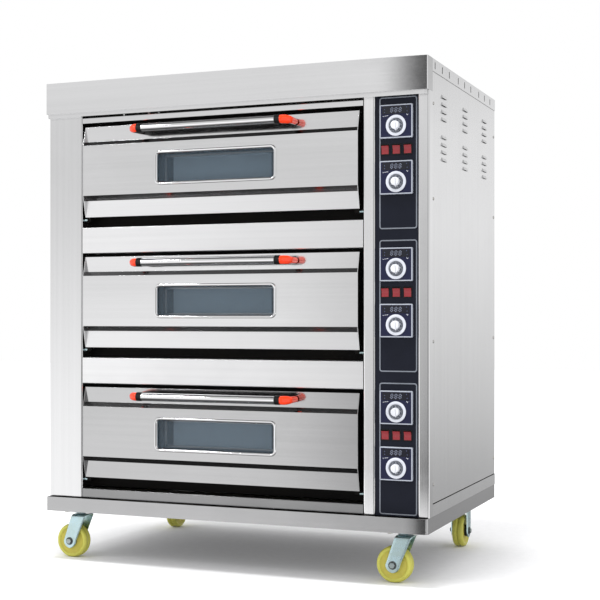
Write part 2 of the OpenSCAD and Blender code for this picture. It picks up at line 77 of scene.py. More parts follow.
class Shader:
    """Builds one node material around a Principled shader, and keeps it in MAT by its name."""

    def __init__(self, name, **settings):
        MAT[name] = bpy.data.materials.new(name)
        MAT[name].use_nodes = True
        self.tree = MAT[name].node_tree
        self.bsdf = self.tree.nodes["Principled BSDF"]
        for socket, value in settings.items():
            self.bsdf.inputs[socket.replace("_", " ")].default_value = value
        self.place = self.node("TexCoord").outputs["Object"]

    def node(self, kind, settings=None, **sockets):
        made = self.tree.nodes.new("ShaderNode" + kind)
        for key, value in (settings or {}).items():
            setattr(made, key, value)
        for key, value in sockets.items():
            self.feed(made.inputs[key.replace("_", " ")], value)
        return made

    def feed(self, socket, value):
        if isinstance(value, bpy.types.NodeSocket):
            self.tree.links.new(value, socket)
        else:
            socket.default_value = value

    def set(self, **sockets):
        for key, value in sockets.items():
            self.feed(self.bsdf.inputs[key.replace("_", " ")], value)

    def noise(self, stretch, detail=3.0, rough=0.55):
        """A noise with the given number of cells per metre along each axis."""
        mapping = self.node("Mapping", Vector=self.place, Scale=stretch)
        made = self.node("TexNoise", Vector=mapping.outputs["Vector"], Scale=1.0,
                         Detail=detail, Roughness=rough)
        return made.outputs["Fac"]

    def span(self, fac, low, high, start=0.3, end=0.7):
        """Maps fac from start..end to low..high."""
        made = self.node("MapRange", {"clamp": True}, Value=fac)
        for key, value in (("From Min", start), ("From Max", end), ("To Min", low), ("To Max", high)):
            made.inputs[key].default_value = value
        return made.outputs["Result"]

    def math(self, operation, first, second=0.0):
        made = self.node("Math", {"operation": operation})
        self.feed(made.inputs[0], first)
        self.feed(made.inputs[1], second)
        return made.outputs[0]

    def mix(self, fac, first, second):
        """first where fac is 0 and second where it is 1. Colours use sockets 6 and 7 of the node."""
        made = self.node("Mix", {"data_type": "RGBA"})
        self.feed(made.inputs[0], fac)
        for socket, value in zip(made.inputs[6:8], (first, second)):
            self.feed(socket, (*value, 1.0) if isinstance(value, tuple) else value)
        return made.outputs[2]

    def soiled(self, tone, distance, amount, shade_colour):
        """The tone, with some of the shade colour painted in as shade in corners and seams closer than
        distance.
        """
        return self.mix(self.math("MULTIPLY", self.grime(distance), amount), tone, shade_colour)

    def bump(self, height, strength, distance, under=None):
        """A bump, on top of another one if given. Returns its normal and sets it on the surface."""
        made = self.node("Bump", Height=height, Strength=strength, Distance=distance)
        if under:
            self.feed(made.inputs["Normal"], under)
        self.set(Normal=made.outputs["Normal"])
        return made.outputs["Normal"]

    def grime(self, distance):
        """A mask for painted shade, from ambient occlusion: 0 on open surfaces, rising to 1 in corners and
        seams closer than distance.
        """
        made = self.node("AmbientOcclusion", {"samples": 6}, Distance=distance)
        return self.span(made.outputs["AO"], 1.0, 0.0, 0.25, 0.8)


def rgb(*levels):
    """A colour given as sRGB 0 to 255, in linear light."""
    return tuple(((c / 255 + 0.055) / 1.055) ** 2.4 if c > 10 else c / 255 / 12.92 for c in levels)


def shade(colour, factor):
    return tuple(c * factor for c in colour)


def grey(level):
    return level, level, level * 1.01


def brushed(name, level, rough, along, streak=0.03, wave=0.0022):
    """Stainless sheet: fine grain along one axis, faint streaks, smears, painted shade in seams
    and corners, and flat faces that are never quite flat."""
    colour = grey(level)
    made = Shader(name, Metallic=1.0)
    grain = made.noise(tuple(6.0 if axis == along else 1400.0 for axis in "xyz"), detail=2.0)
    streaks = made.noise(tuple(0.8 if axis == along else 90.0 for axis in "xyz"), detail=4.0)
    clouds = made.noise((3.1, 3.1, 3.1), detail=4.0, rough=0.6)
    smears = made.noise((9.0, 9.0, 14.0), detail=6.0, rough=0.7)
    swell = made.noise(tuple(1.2 if axis == along else 4.0 for axis in "xyz"), detail=1.0)
    dim, lit = shade(colour, 1 - streak), shade(colour, 1 + streak * 0.4)
    tone = made.mix(made.span(streaks, 0.0, 1.0), dim, lit)
    # painted shade: the sheet darkens in seams and corners
    made.set(Base_Color=made.soiled(tone, 0.012, 0.5, shade(colour, 0.25)))
    gloss = made.math("ADD", made.span(grain, -0.02, 0.02), made.span(clouds, rough - 0.02, rough + 0.03))
    made.set(Roughness=made.math("ADD", gloss, made.span(smears, -0.01, 0.04, 0.45, 0.75)))
    flat = made.bump(swell, 1.0, wave)
    made.bump(grain, 0.04, 0.0003, flat)


def moulded(name, colour, rough, coat=0.0, pitch=900.0, gloss=0.5):
    """Moulded plastic or paint: fine texture, slight tone drift, scuffs and painted shade in corners."""
    colour = rgb(*colour)
    made = Shader(name, Coat_Weight=coat, Coat_Roughness=0.12, Specular_IOR_Level=gloss)
    fine = made.noise((pitch,) * 3, detail=2.0)
    drift = made.noise((14.0,) * 3, detail=4.0)
    scuffs = made.noise((160.0, 160.0, 30.0), detail=6.0, rough=0.75)
    tone = made.mix(made.span(drift, 0.0, 1.0), shade(colour, 0.9), shade(colour, 1.08))
    tone = made.mix(made.span(scuffs, 0.0, 0.12, 0.62, 0.8), tone, shade(colour, 1.8))
    # painted shade: the plastic darkens in corners and seams
    made.set(Base_Color=made.soiled(tone, 0.004, 0.5, shade(colour, 0.3)))
    rub = made.span(scuffs, 0.0, 0.18, 0.5, 0.8)
    made.set(Roughness=made.math("ADD", rub, made.span(fine, rough - 0.04, rough + 0.04)))
    made.bump(fine, 0.06, 0.0003)


def zinc_plate(name, colour, rough=0.28):
    """Bright zinc plating with a faint blue and yellow passivation bloom."""
    made = Shader(name, Metallic=1.0)
    bloom = made.noise((38.0,) * 3, detail=4.0, rough=0.6)
    pits = made.noise((700.0,) * 3, detail=3.0)
    warm = (colour[0] * 1.06, colour[1], colour[2] * 0.88)
    tone = made.mix(made.span(bloom, 0.0, 1.0), colour, warm)
    # painted shade: the plating darkens in corners and seams
    made.set(Base_Color=made.soiled(tone, 0.008, 0.6, shade(colour, 0.2)))
    gloss = made.span(bloom, rough - 0.06, rough + 0.08)
    made.set(Roughness=made.math("ADD", made.span(pits, -0.05, 0.06), gloss))
    made.bump(pits, 0.12, 0.0003)


def heated(name, colour, tint, rough, metal):
    """Enamel or sheath that has been hot: sooty blotches with a warm tint."""
    made = Shader(name, Metallic=metal, Specular_IOR_Level=0.15)
    blotch = made.noise((7.0, 7.0, 7.0), detail=6.0, rough=0.65)
    fine = made.noise((260.0,) * 3, detail=3.0)
    made.set(Base_Color=made.mix(made.span(blotch, 0.0, 1.0, 0.35, 0.7), colour, tint))
    gloss = made.span(blotch, rough - 0.1, rough + 0.1)
    made.set(Roughness=made.math("ADD", made.span(fine, -0.08, 0.08), gloss))
    made.bump(fine, 0.15, 0.0004)


def wool(name):
    """Mineral wool: matted fibres in a yellow-green slab."""
    made = Shader(name, Roughness=0.95, Sheen_Weight=0.3)
    fibres = made.noise((420.0, 420.0, 60.0), detail=5.0, rough=0.7)
    tufts = made.noise((28.0,) * 3, detail=5.0)
    made.set(Base_Color=made.mix(made.span(fibres, 0.0, 1.0), rgb(120, 112, 70), rgb(206, 196, 140)))
    made.bump(made.math("ADD", fibres, tufts), 0.6, 0.003)


def pane(name, tint, cover, ior):
    """Coated oven glass that lets part of the light through, with a haze of fingerprints."""
    made = Shader(name, Alpha=cover, IOR=ior)
    haze = made.noise((22.0, 22.0, 40.0), detail=6.0, rough=0.7)
    made.set(Base_Color=made.mix(made.span(haze, 0.0, 1.0), tint, shade(tint, 1.12)))
    made.set(Roughness=made.span(haze, 0.03, 0.12, 0.4, 0.75))


def paper_floor(name):
    """A pale seamless studio floor."""
    made = Shader(name, Roughness=0.85, Specular_IOR_Level=0.0)
    fibre = made.noise((40.0,) * 3, detail=3.0)
    made.set(Base_Color=made.mix(made.span(fibre, 0.0, 1.0), grey(0.9), grey(0.94)))


# stainless sheet, by where it is: its level, roughness and grain
brushed("roof", 0.78, 0.13, "y")
brushed("cap", 0.82, 0.11, "x")
# painted shade: the cap's side returns are a darker copy of its sheet
brushed("cap_side_shaded", 0.56, 0.14, "y")
brushed("side", 0.78, 0.2, "z", wave=0.004)
brushed("left_post", 0.78, 0.12, "z")
# painted light: the stile is a brighter copy of the posts' sheet
brushed("stile", 0.9, 0.12, "z")
brushed("right_post", 0.78, 0.07, "z")
# painted shade: the base and its sides are darker copies of the sheet
brushed("base", 0.45, 0.17, "x")
brushed("base_side_shaded", 0.5, 0.2, "y")
# painted shade: the sill under the lowest door is a darker copy of the sheet
brushed("sill", 0.3, 0.2, "x")
# a rougher satin sheet, partly painted light: its level is brighter than the plain sheet's
brushed("fascia", 0.98, 0.32, "x", wave=0.001)
brushed("sheet", 0.78, 0.11, "x")
# painted shade: the lowest door's front is a darker copy of the sheet
brushed("shaded_sheet", 0.52, 0.13, "x")
# painted shade in the grooves of the door fronts: darker copies of the sheet, nearly black on the upper
# deck
brushed("upper_ledge", 0.3, 0.13, "x")
brushed("shaded_ledge", 0.02, 0.2, "x")
brushed("lower_ledge", 0.2, 0.13, "x")
brushed("polished", 0.88, 0.06, "x", streak=0.01, wave=0.0)
brushed("spacer", 0.9, 0.3, "x", wave=0.0)
# zinc plated steel
zinc_plate("zinc", (0.55, 0.73, 0.80))
zinc_plate("bolt", (0.42, 0.50, 0.53), 0.3)
# dark zinc: painted shade on the caster plates, and the dark washers under the axle nuts
zinc_plate("dark_zinc_and_shade", (0.16, 0.18, 0.19), 0.4)
zinc_plate("bright", (0.72, 0.73, 0.75), 0.2)
# controls
moulded("panel", (22, 25, 36), 0.5, gloss=0.15)
moulded("navy", (29, 32, 58), 0.45, gloss=0.2)
moulded("display", (12, 14, 26), 0.12, pitch=200.0)
moulded("lamp", (66, 74, 104), 0.3)
moulded("segment", (122, 128, 146), 0.4)
moulded("silver", (160, 165, 176), 0.35)
moulded("trim", (112, 117, 126), 0.35)
moulded("scale_ring", (200, 203, 212), 0.4)
moulded("disc", (70, 75, 86), 0.4)
moulded("knob", (214, 216, 222), 0.3)
moulded("ink", (206, 209, 216), 0.5)
moulded("black", (15, 15, 16), 0.4, gloss=0.35)
moulded("red", (132, 30, 38), 0.3, coat=0.3)
# handles, wheels and windows
moulded("orange", (236, 58, 14), 0.2, coat=0.5, pitch=300.0)
moulded("nylon", (190, 187, 84), 0.42, pitch=500.0, gloss=0.35)
moulded("dish", (190, 180, 80), 0.5, pitch=500.0, gloss=0.25)
moulded("frit", (10, 20, 30), 0.3, pitch=200.0)
pane("glass_out", (0.05, 0.075, 0.1), 0.34, 1.6)
pane("glass_in", (0.36, 0.48, 0.58), 0.9, 1.5)
# chambers
# near black: a dark enamel, and painted shade where its front flanges show in the gaps round the doors
heated("enamel_and_gap_shade", (0.002, 0.002, 0.0022), (0.008, 0.0065, 0.005), 0.6, 0.3)
heated("chamber", (0.085, 0.082, 0.078), (0.15, 0.115, 0.08), 0.45, 0.75)
heated("hearth", (0.26, 0.25, 0.24), (0.36, 0.29, 0.2), 0.42, 1.0)
heated("sheath", (0.05, 0.048, 0.045), (0.16, 0.11, 0.08), 0.5, 0.8)
wool("wool")
paper_floor("floor")


# ---- mesh helpers ----

def vec(x, y, z):
    return Vector((x, y, z))


ROUNDED_ABOVE = radians(28)
WELD = 0.02 * MM


def piece(name, bm, material, nodes=(), smooth=35.0, bevel=0.0, segments=2, body="root"):
    """A new object with its material, shading, edge rounding and body. The CAD nodes it stands for
    are hidden. Edges turn sharp above smooth degrees."""
    obj = new_object(name, bm)
    mesh = obj.data
    mesh.materials.append(MAT[material])
    mesh.shade_smooth()
    mesh.set_sharp_from_angle(angle=radians(smooth))
    if bevel:
        rounding = obj.modifiers.new("edge_radius", "BEVEL")
        rounding.width = bevel
        rounding.segments = segments
        rounding.limit_method = "ANGLE"
        rounding.angle_limit = ROUNDED_ABOVE
        rounding.use_clamp_overlap = True
        flat = obj.modifiers.new("flat_faces", "WEIGHTED_NORMAL")
        flat.weight = 100
        flat.keep_sharp = True
    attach(obj, body)
    if nodes:
        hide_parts(*nodes)
    return obj


def new_object(name, bm):
    """Turns a bmesh into a linked object and frees it."""
    bmesh.ops.recalc_face_normals(bm, faces=bm.faces)
    mesh = bpy.data.meshes.new(name)
    bm.to_mesh(mesh)
    bm.free()
    obj = bpy.data.objects.new(name, mesh)
    scene.collection.objects.link(obj)
    return obj


def cad_copy(node, part=None):
    """The welded mesh of a CAD node with its flat faces whole again. part is a test of a face's
    centre that picks some of the faces."""
    bm = bmesh.new()
    bm.from_mesh(frame["nodes"][node].data)
    bmesh.ops.remove_doubles(bm, verts=bm.verts, dist=WELD)
    if part:
        doomed = [f for f in bm.faces if not part(f.calc_center_median())]
        bmesh.ops.delete(bm, geom=doomed, context="FACES")
    bmesh.ops.dissolve_limit(bm, angle_limit=radians(0.6), verts=bm.verts, edges=bm.edges)
    return bm


def second_material(obj, material, chosen):
    """Gives the faces that pass a test another material."""
    obj.data.materials.append(MAT[material])
    for face in obj.data.polygons:
        if chosen(face):
            face.material_index = 1


def body_of_node(node):
    bodies = frame["record"]["behaviour"]["bodies"]
    return next(body for body, nodes in bodies.items() if node in nodes)


def rounded_copy(node, material, bevel, segments=2):
    """A CAD node again, with softly rounded edges."""
    return piece(node + "_formed", cad_copy(node), material, (node,), bevel=bevel,
                 segments=segments, body=body_of_node(node))


def middle_of(node):
    low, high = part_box(node)
    return (low + high) / 2


def deck_level(deck):
    """Height of the top edge of a deck's door, 9 mm below its upper dial."""
    return middle_of(deck + "_top_heat_dial").z - 9 * MM


def loop_mesh(bm, rings, closed_profile=True, close_path=True):
    """Quads between consecutive rings of points. Each ring has the same number of points."""
    made = [[bm.verts.new(p) for p in ring] for ring in rings]
    count = len(made[0])
    for i in range(len(made) if close_path else len(made) - 1):
        first, second = made[i], made[(i + 1) % len(made)]
        for j in range(count if closed_profile else count - 1):
            k = (j + 1) % count
            bm.faces.new((first[j], first[k], second[k], second[j]))
    return made


def capped(bm, rings):
    """A body through the rings, closed at both ends."""
    made = loop_mesh(bm, rings, close_path=False)
    bm.faces.new(list(reversed(made[0])))
    bm.faces.new(made[-1])


def circle(k, steps, r=1.0):
    """Point k of a circle of steps points."""
    a = TURN * k / steps
    return r * cos(a), r * sin(a)


def lathe(bm, profile, to_world, steps=64):
    """Revolves (radius, height) points about the local Z axis. Ends at radius 0 are closed."""
    rings = []
    for i in range(steps):
        rings.append([to_world @ vec(*circle(i, steps, r), h) for r, h in profile])
    made = loop_mesh(bm, rings, closed_profile=False)
    bmesh.ops.remove_doubles(bm, verts=[v for ring in made for v in ring], dist=1e-7)


def scaled(profile):
    """A profile given in millimetres, in metres."""
    return [(r * MM, h * MM) for r, h in profile]


def corner_arcs(steps):
    """The corner arcs of a rounded rectangle: corner signs, and a unit direction on the arc."""
    for cx, cy, start in ((1, 1, 0), (-1, 1, 1), (-1, -1, 2), (1, -1, 3)):
        for k in range(steps + 1):
            a = (start + k / steps) * pi / 2
            yield cx, cy, cos(a), sin(a)


def rounded_rectangle(w, h, r, steps):
    return [(cx * (w / 2 - r) + r * dx, cy * (h / 2 - r) + r * dy)
            for cx, cy, dx, dy in corner_arcs(steps)]


def rounded_frame(bm, centre, w, h, r, section, steps=8):
    """Sweeps a closed section of (inwards, forwards) points round a rectangle that faces -Y."""
    rings = []
    for cx, cz, dx, dz in corner_arcs(steps):
        ring = []
        for inwards, forwards in section:
            inset = max(r, inwards)
            reach = max(r - inwards, 0)
            x = cx * (w / 2 - inset) + reach * dx
            z = cz * (h / 2 - inset) + reach * dz
            ring.append(centre + vec(x, -forwards, z))
        rings.append(ring)
    loop_mesh(bm, rings)


def plate(bm, centre, w, h, r, thick):
    """A rounded plate that faces -Y, from the centre backwards."""
    front = [bm.verts.new(centre + vec(x, 0, z)) for x, z in rounded_rectangle(w, h, r, 8)]
    prism(bm, front, vec(0, thick, 0))


def prism(bm, front, offset):
    """A solid between a face given by its vertices and the same face moved by an offset."""
    back = [bm.verts.new(v.co + offset) for v in front]
    bm.faces.new(front)
    bm.faces.new(list(reversed(back)))
    for i, v in enumerate(front):
        j = (i + 1) % len(front)
        bm.faces.new((v, back[i], back[j], front[j]))


def block(bm, centre, size, to_world=None):
    """A block round a centre, in its own axes."""
    cx, cy, cz = centre
    width, depth, height = size
    front = [bm.verts.new((cx + x * width / 2, cy - depth / 2, cz + z * height / 2))
             for x, z in ((-1, -1), (1, -1), (1, 1), (-1, 1))]
    start = len(bm.verts) - len(front)
    prism(bm, front, vec(0, depth, 0))
    if to_world:
        bm.verts.ensure_lookup_table()
        for v in bm.verts[start:]:
            v.co = to_world @ v.co


def along(origin, axis):
    """A matrix that puts the local Z axis along a direction at a place."""
    return Matrix.Translation(origin) @ Vector(axis).to_track_quat("Z", "Y").to_matrix().to_4x4()


def hexagon(bm, to_world, across, height, base=0.0):
    """A hexagon head or nut with its outer end chamfered."""
    r = across / sqrt(3)
    rings = []
    for reach, h in ((r, base), (r, base + height - 0.9 * MM), (r * 0.9, base + height)):
        rings.append([to_world @ vec(*circle(k, 6, reach), h) for k in range(6)])
    capped(bm, rings)


def tube(bm, points, radius, steps=24):
    """Sweeps a round section along points. radius is a function of 0..1 along them."""
    rings = []
    side = None
    for i, p in enumerate(points):
        ahead = (points[min(i + 1, len(points) - 1)] - points[max(i - 1, 0)]).normalized()
        side = (side - ahead * side.dot(ahead)).normalized() if side else ahead.orthogonal().normalized()
        up = ahead.cross(side)
        round_p = [circle(k, steps, radius(i / (len(points) - 1))) for k in range(steps)]
        rings.append([p + side * a + up * b for a, b in round_p])
    capped(bm, rings)


# ---- cabinet ----

STILE_REACH = 40 * MM
SEAM_GAP = 2.2 * MM
FLANGE_DEPTH = 14 * MM


def bow_right_end(bm, front_y, reach, push, lean=0.0):
    """Bends the right end of a front band gently backwards, as a hand-folded sheet comes out.
    reach is the length that bends, shorter towards the bottom by the share lean."""
    low_z = min(v.co.z for v in bm.verts)
    high_z = max(v.co.z for v in bm.verts)
    end = max(v.co.x for v in bm.verts)
    cuts = 16
    for k in range(cuts):
        cut = end - reach * (k + 1) / cuts
        bmesh.ops.bisect_plane(bm, geom=bm.verts[:] + bm.edges[:] + bm.faces[:],
                               plane_co=(cut, 0, 0), plane_no=(1, 0, 0))
    for v in bm.verts:
        if v.co.y < front_y + 8 * MM:
            share = reach * (1 - lean * (high_z - v.co.z) / (high_z - low_z))
            past = max(0.0, (v.co.x - end + share) / share)
            v.co.y += push * past * past


def front_band(node, material, side, reach, push, lean):
    """A band across the front, bowed at its right end. Its sides have their own grain and a darker level,
    which is painted shade.
    """
    bm = cad_copy(node)
    bow_right_end(bm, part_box(node)[0].y, reach, push, lean)
    band = piece(node + "_formed", bm, material, (node,), bevel=1.2 * MM)
    second_material(band, side, lambda face: face.normal.x > 0.9)


def side_rails():
    """The rails of both sides, with an open seam above the lower ones."""
    bm = cad_copy("side_rails")
    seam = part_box("right_side_panel")[0].z
    for v in bm.verts:
        if abs(v.co.z - seam) < MM:
            v.co.z -= SEAM_GAP
    piece("side_rails_formed", bm, "side", ("side_rails",), bevel=0.5 * MM)


def sheet_parts(node, bevel, parts):
    """One CAD node as several pieces: for each its name, its material and a test of face centres."""
    for name, material, part in parts:
        piece(name, cad_copy(node, part), material, (node,), bevel=bevel)


def cabinet():
    for node, material, bevel in (
        ("roof_panel", "roof", 0.5), ("left_side_panel", "side", 0.6),
        ("right_side_panel", "side", 0.6), ("back_panel", "side", 0.4),
    ):
        rounded_copy(node, material, bevel * MM)
    side_rails()
    doors_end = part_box("upper_door_skin")[1].x
    # the stile's brighter sheet is painted light
    sheet_parts("front_posts", 0.6 * MM, (
        ("front_left_post", "left_post", lambda at: at.x < doors_end),
        ("front_stile", "stile", lambda at: doors_end < at.x < doors_end + STILE_REACH),
        ("front_right_post", "right_post", lambda at: at.x > doors_end + STILE_REACH),
    ))
    top, bottom = deck_level("upper"), deck_level("lower") - 250 * MM
    # the middle plates' brighter sheet is partly painted light, and the sill's darker sheet is painted
    # shade
    sheet_parts("fascia_plates", 0.8 * MM, (
        ("fascia_top_band", "sheet", lambda at: at.z > top),
        ("fascia_middle_plates", "fascia", lambda at: bottom < at.z < top),
        ("fascia_sill", "sill", lambda at: at.z < bottom),
    ))
    # the darker sheet of the cap's and base's sides, and the darker base, are painted shade
    front_band("cap_hood", "cap", "cap_side_shaded", 220 * MM, 5.2 * MM, 0.0)
    front_band("base_frame", "base", "base_side_shaded", 70 * MM, 2.5 * MM, 0.45)


def chambers():
    liners = rounded_copy("chamber_liners", "enamel_and_gap_shade", 0.8 * MM)
    # the front flange keeps the near-black enamel, painted shade of the gaps round the doors
    flange_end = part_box("chamber_liners")[0].y + FLANGE_DEPTH
    second_material(liners, "chamber", lambda face: face.center.y > flange_end)
    rounded_copy("hearth_plates", "hearth", 0.8 * MM)
    rounded_copy("heating_elements", "sheath", 0.5 * MM)
    rounded_copy("insulation", "wool", 4 * MM, 3)
    rounded_copy("hinge_pins", "zinc", 0.5 * MM)


# ---- doors ----

BEZEL_SECTION = scaled([(0, 0), (0.4, 1.4), (1.6, 2.3), (3.2, 2.5), (5.4, 2.1), (7.6, 1.1),
                        (9, -0.6), (9, -5.5), (6, -5.5), (6, 0)])
SPACER_SECTION = scaled([(0, 0), (0, 7), (0.8, 8), (5.2, 8), (6, 7), (6, 0)])
PANE = 4 * MM
BORDER_W = 22 * MM


def door_skin(deck):
    """The folded front. Its ledges are darker copies of the sheet, painted shade, and its lower strip is
    the brighter fascia sheet, partly painted light. The lowest door's front and strip are a darker copy,
    painted shade.
    """
    shaded_deck = deck == "lower"
    panel = "shaded_sheet" if shaded_deck else "sheet"
    lower_strip = "shaded_sheet" if shaded_deck else "fascia"
    upper_ledge = "shaded_ledge" if deck == "upper" else "upper_ledge"
    skin = rounded_copy(deck + "_door_skin", panel, 1.4 * MM, 3)
    for material in (upper_ledge, "lower_ledge", lower_strip):
        skin.data.materials.append(MAT[material])
    level = deck_level(deck)
    for face in skin.data.polygons:
        height = face.center.z - level
        if face.normal.y < -0.3 and abs(face.normal.z) > 0.4:
            face.material_index = 1 if height > -50 * MM else 2
        elif face.normal.y < -0.9 and height < -170 * MM:
            face.material_index = 3


def window(deck, body):
    """The bezel, and the double glazing with its spacer and its dark side borders."""
    low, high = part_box(deck + "_window_bezel")
    centre = (low + high) / 2
    centre.y = low.y + 2.5 * MM
    bm = bmesh.new()
    rounded_frame(bm, centre, high.x - low.x, high.z - low.z, 18 * MM, BEZEL_SECTION, 10)
    piece(deck + "_bezel_ring", bm, "polished",
          (deck + "_window_bezel",), 60.0, body=body)
    low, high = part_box(deck + "_door_glass")
    glass_w, glass_h = high.x - low.x, high.z - low.z
    for name, y, material in (("outer", low.y, "glass_out"), ("inner", high.y - PANE, "glass_in")):
        bm = bmesh.new()
        plate(bm, vec(centre.x, y, centre.z), glass_w, glass_h, 4 * MM, PANE)
        piece(deck + "_pane_" + name, bm, material,
              (deck + "_door_glass",), bevel=0.4 * MM, body=body)
    bm = bmesh.new()
    rounded_frame(bm, vec(centre.x, high.y - PANE - 0.2 * MM, centre.z), glass_w - 7 * MM,
                  glass_h - 7 * MM, 4 * MM, SPACER_SECTION)
    piece(deck + "_pane_spacer", bm, "spacer", body=body)
    bm = bmesh.new()
    for side in (-1, 1):
        x = centre.x + side * (glass_w / 2 - 20 * MM)
        plate(bm, vec(x, high.y - PANE - 0.6 * MM, centre.z), BORDER_W, glass_h - 9 * MM,
              2 * MM, 0.4 * MM)
    piece(deck + "_pane_borders", bm, "frit", body=body)


def door(deck):
    body = deck + "_door"
    door_skin(deck)
    pan = rounded_copy(deck + "_door_pan", "enamel_and_gap_shade", 0.8 * MM)
    second_material(pan, "chamber", lambda face: face.normal.y > 0.5)
    window(deck, body)
    handle(deck, body)


# ---- handles ----

COLLAR_PROFILE = ((0.1, 0), (1.2, 0), (2, 0.8), (2, 5), (1.5, 5.6), (1.5, 7), (2, 7.6), (2, 15),
                  (1.2, 15.8), (0.1, 15.8))
COLLAR_START = 12 * MM
COLLAR_LEN = 15 * MM
ARM_R = 12.5 * MM
WALL = 1.5 * MM


def grip_radius(t):
    """Radius of a moulded grip: full at the collar, fullest at the bend, slimmer at the door."""
    return (11.6 + 1.2 * sin(pi * min(1.0, t * 1.4)) - 2.6 * t * t) * MM


def core_radius(t):
    """Radius of the black core of an arm. It shows on the side of the tube only, and as a dark edge under
    the grip that is painted shadow.
    """
    return grip_radius(t) - 0.1 * MM


def backing_strip(bm, axis, r, half):
    """A half round strip behind the handle tube, between the collars."""
    steps = 12
    rings = []
    for end in (-half, half):
        ring = []
        for reach, turns in ((r + 0.1 * MM, range(steps + 1)), (r + 1.1 * MM, range(steps, -1, -1))):
            for k in turns:
                a = radians(-92 + 184 * k / steps)
                ring.append(axis + vec(end, reach * cos(a), reach * sin(a)))
        rings.append(ring)
    capped(bm, rings)


def arm(black, grips, start, side, bend, door_y):
    """An arm that leaves the collar, bends back and reaches the door: grip and black core. The core sits
    lower and further in than the grip, so its edge shows under the grip as painted shadow.
    """
    path = [start, start + vec(side * MM, 0, 0)]
    bend_steps, reach_steps = 14, 6
    for k in range(bend_steps + 1):
        a = k / bend_steps * pi / 2
        path.append(start + vec(side * (MM + bend * sin(a)), bend * (1 - cos(a)), 0))
    root = vec(path[-1].x, door_y, start.z)
    path += [path[-1].lerp(root, k / reach_steps) for k in range(1, reach_steps + 1)]
    tube(grips, path, grip_radius, 32)
    # painted shadow: the core is moved in and down, so a dark edge shows under the grip
    inward = vec(-side * 3.2 * MM, 0, -0.8 * MM)
    behind = inward + vec(0, 1.6 * MM, 0)
    tube(black, [start] + [p + behind for p in path[1:-1]] + [root + inward], core_radius, 28)


def handle(deck, body):
    low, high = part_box(deck + "_handle_tube")
    axis = (low + high) / 2
    r = (high.z - low.z) / 2
    half = (high.x - low.x) / 2
    bm = bmesh.new()
    section = [(r - WALL, -half), (r, -half), (r, half), (r - WALL, half), (r - WALL, -half)]
    lathe(bm, section, along(axis, (1, 0, 0)), 48)
    piece(deck + "_handle_bar", bm, "polished",
          (deck + "_handle_tube",), bevel=0.3 * MM, body=body)
    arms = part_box(deck + "_handle_arms")[1]
    bare = half - COLLAR_START
    bend = arms.x - axis.x - bare - COLLAR_LEN - MM - ARM_R
    black, grips = bmesh.new(), bmesh.new()
    backing_strip(black, axis, r, bare)
    for side in (-1, 1):
        lathe(black, [(r + out * MM, h * MM) for out, h in COLLAR_PROFILE],
              along(axis + vec(side * bare, 0, 0), (side, 0, 0)), 48)
        start = axis + vec(side * (bare + COLLAR_LEN), 0, 0)
        arm(black, grips, start, side, bend, arms.y - 5.5 * MM)
    piece(deck + "_handle_collars", black, "black", (deck + "_handle_arms",), body=body)
    piece(deck + "_handle_grips", grips, "orange",
          (deck + "_handle_arms",), 50.0, body=body)


# ---- controls ----

DIAL_DROP = 12 * MM
HOUSING = (96 * MM, 94 * MM)
HOUSING_PROUD = 8 * MM
CASE_SECTION = scaled([(0, 0), (0, 7.2), (0.5, 8), (1.2, 8.3), (2.6, 8.3), (3.2, 8), (3.4, 7), (3.4, 0)])
TRIM_SECTION = scaled([(0, 0), (0, 0.9), (0.5, 1.3), (3, 1.3), (3.5, 0.9), (3.5, 0)])
LIP_SECTION = scaled([(0, 0), (0, 1.1), (0.5, 1.6), (1.6, 1.7), (2.6, 1.2), (3.0, 0.2), (3.0, 0)])
CORE_SECTION = scaled([(0, 0), (0, 15), (1.2, 15), (1.2, 0)])
RING_PROFILE = scaled([(20.8, -2), (20.8, 0.5), (21.3, 1.0), (24, 1.5), (27, 1.4), (29, 0.9), (29.5, 0.3),
                       (29.5, -2)])
LAMP_PROFILE = scaled([(0, 0.7), (0.9, 0.6), (1.4, 0.2), (1.5, -0.5)])
# The segments of a digit: place in half widths and heights, and whether it stands upright.
SEGMENTS = (((0, 1), False), ((-1, 0.5), True), ((1, 0.5), True), ((0, 0), False), ((-1, -0.5), True),
            ((1, -0.5), True), ((0, -1), False))
# Millimetres from the middle of the screen, and of the housing with length and slope.
LAMPS = ((-33, 2), (-33, -6), (31, 6), (33, -5))
MARKS = ((-37, 14.5, 3.5, 0.3), (-31, 15.5, 5, -0.1), (-25, 16.2, 5, -0.15), (32, 17, 4, 0.8),
         (34.5, 16, 3.5, -0.9))
TICKS = 36
NUMBERS = range(0, 401, 50)


def panel_front():
    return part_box("control_panel")[0].y


def housing_centres():
    for deck in DECKS:
        for heat in HEATS:
            at = middle_of(f"{deck}_{heat}_heat_dial")
            yield vec(at.x, panel_front() - HOUSING_PROUD, at.z + DIAL_DROP)


def digit(bm, centre, w, h, bar):
    """Seven unlit segments with pointed ends, leaning a little."""
    for (sx, sz), upright in SEGMENTS:
        length = (h / 2 if upright else w) - bar * 1.3
        outline = []
        for a, b in ((-0.5, 0), (-0.38, -0.5), (0.38, -0.5), (0.5, 0), (0.38, 0.5), (-0.38, 0.5)):
            x, z = (b * bar, a * length) if upright else (a * length, b * bar)
            rise = sz * h / 2 + z
            place = centre + vec(sx * w / 2 + x + 0.12 * rise, 0, rise)
            outline.append(bm.verts.new(place))
        prism(bm, outline, vec(0, 0.4 * MM, 0))


def stroke(bm, centre, length, thick, slope):
    """A short printed line on the housing."""
    lean = Matrix.Translation(centre) @ Matrix.Rotation(slope, 4, "Y")
    block(bm, (0, 0, 0), (length, 0.3 * MM, thick), lean)


